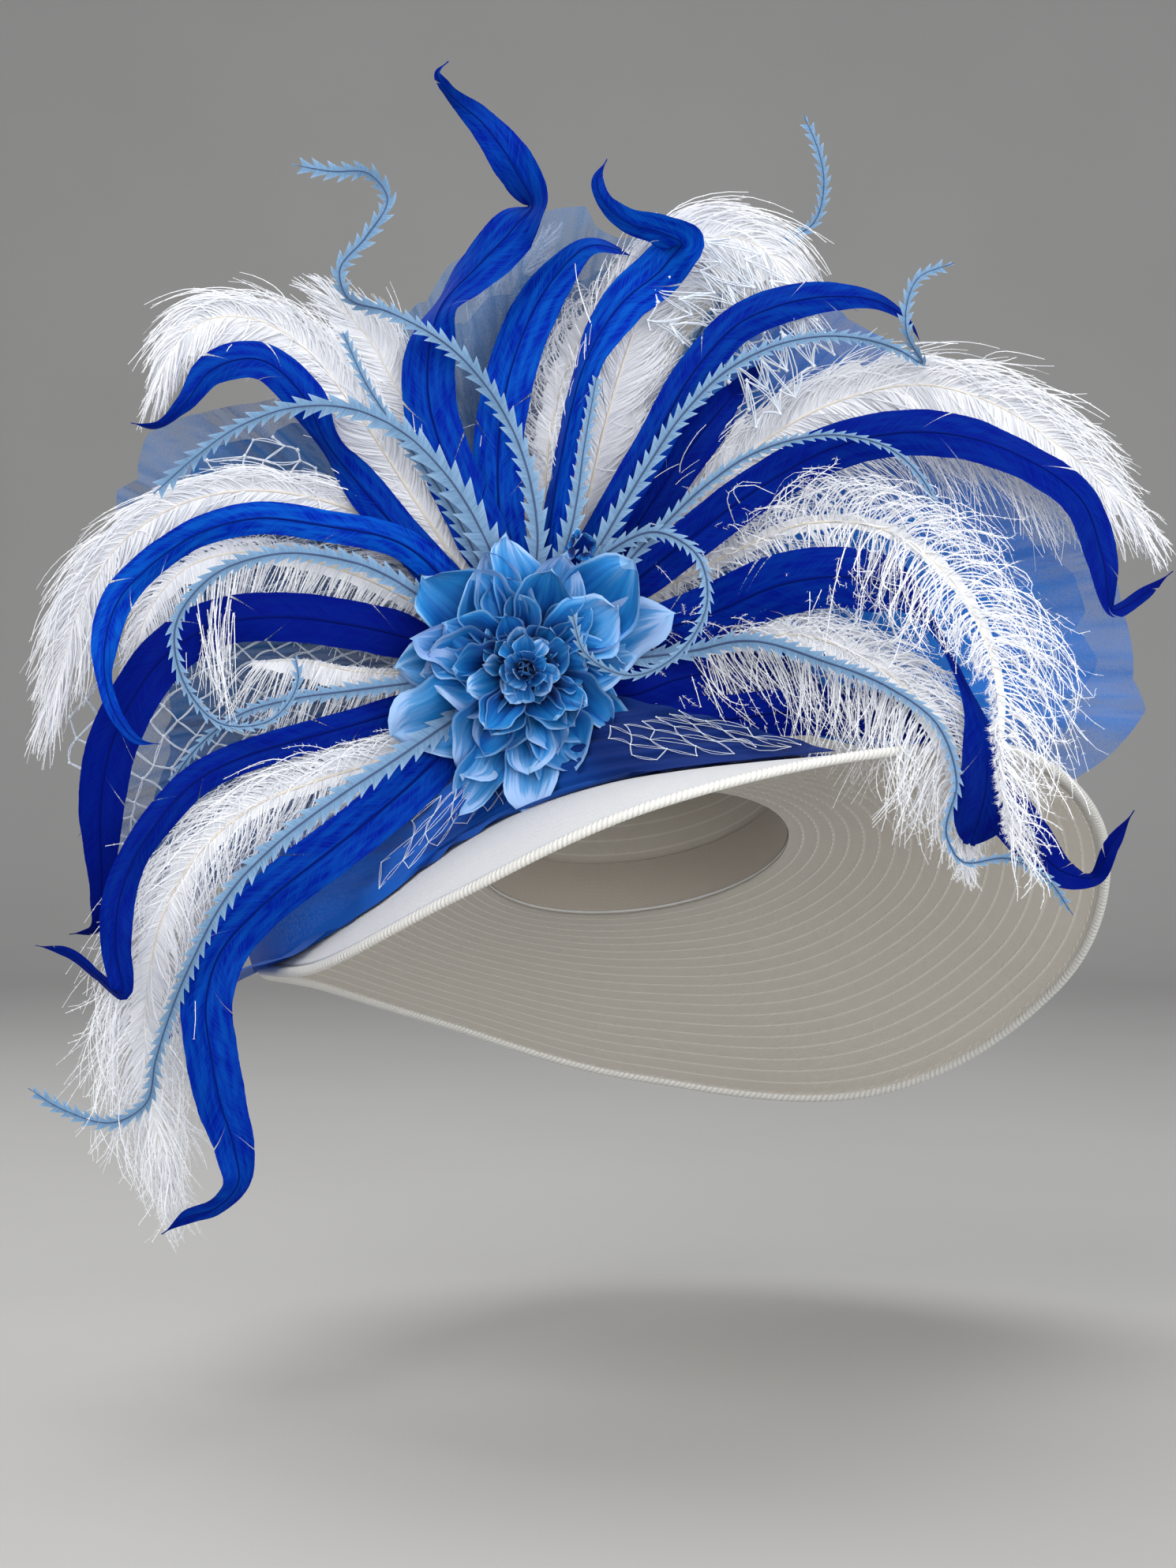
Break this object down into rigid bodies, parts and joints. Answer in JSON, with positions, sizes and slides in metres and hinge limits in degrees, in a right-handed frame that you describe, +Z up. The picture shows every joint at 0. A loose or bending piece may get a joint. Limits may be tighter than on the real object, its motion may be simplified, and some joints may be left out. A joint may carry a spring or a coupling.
{
  "type": "race day hat",
  "caption": "Wide-brimmed sewn-straw dress hat, tipped back as worn, with a fan of tulle, netting, plumes and quills around a cloth dahlia.",
  "frame": {"origin": "middle of the head opening, in the plane where the crown meets the brim", "axes": "+Z is up as worn, -Y is the way the wearer looks, +X is the wearer's left; the hat itself is tipped 22 degrees back and 6 degrees sideways"},
  "size_m": [0.6041, 0.4687, 0.6243],
  "materials": {
    "white_straw": "sewn sinamay straw, matte",
    "sweatband_cloth": "smooth woven band",
    "blue_tulle": "sheer tulle",
    "white_net": "open millinery net",
    "white_ostrich": "soft ostrich plume",
    "royal_blue_goose": "satin goose feather",
    "pale_blue_quill": "cut quill, satin",
    "dahlia_silk": "printed cloth petals",
    "stem_tape": "bound stems"
  },
  "bodies": {
    "root": {"blade_arch_left": "royal_blue_goose", "blade_arch_right": "royal_blue_goose", "blade_crest_left": "royal_blue_goose", "blade_crest_right": "royal_blue_goose", "blade_hanging": "royal_blue_goose", "blade_left": "royal_blue_goose", "blade_lower_left": "royal_blue_goose", "blade_on_brim": "royal_blue_goose", "blade_over_brim": "royal_blue_goose", "blade_short_right": "royal_blue_goose", "blade_tall": "royal_blue_goose", "blade_upper_left": "royal_blue_goose", "blade_upper_right": "royal_blue_goose", "brim": "white_straw", "crown": "white_straw", "dahlia_heart": "dahlia_silk", "dahlia_ring_1": "dahlia_silk", "dahlia_ring_2": "dahlia_silk", "dahlia_ring_3": "dahlia_silk", "dahlia_ring_4": "dahlia_silk", "dahlia_ring_5": "dahlia_silk", "edge_cord": "white_straw", "net_left": "white_net", "net_right": "white_net", "net_top": "white_net", "plume_arch_left": "white_ostrich", "plume_arch_right": "white_ostrich", "plume_behind_left": "white_ostrich", "plume_behind_tulle": "white_ostrich", "plume_crest": "white_ostrich", "plume_far_left": "white_ostrich", "plume_hanging": "white_ostrich", "plume_on_brim": "white_ostrich", "plume_over_brim": "white_ostrich", "plume_short_left": "white_ostrich", "plume_top": "white_ostrich", "plume_upper_left": "white_ostrich", "quill_arch_right": "pale_blue_quill", "quill_broad": "pale_blue_quill", "quill_crown_right": "pale_blue_quill", "quill_curl": "pale_blue_quill", "quill_hanging": "pale_blue_quill", "quill_kinked": "pale_blue_quill", "quill_left": "pale_blue_quill", "quill_loop_left": "pale_blue_quill", "quill_lower_right": "pale_blue_quill", "quill_short_left": "pale_blue_quill", "quill_upright": "pale_blue_quill", "quill_wavy": "pale_blue_quill", "stem_hub": "stem_tape", "sweatband": "sweatband_cloth", "tulle_left": "blue_tulle", "tulle_right": "blue_tulle", "tulle_top": "blue_tulle", "tulle_wrap": "blue_tulle"}
  },
  "joints": []
}
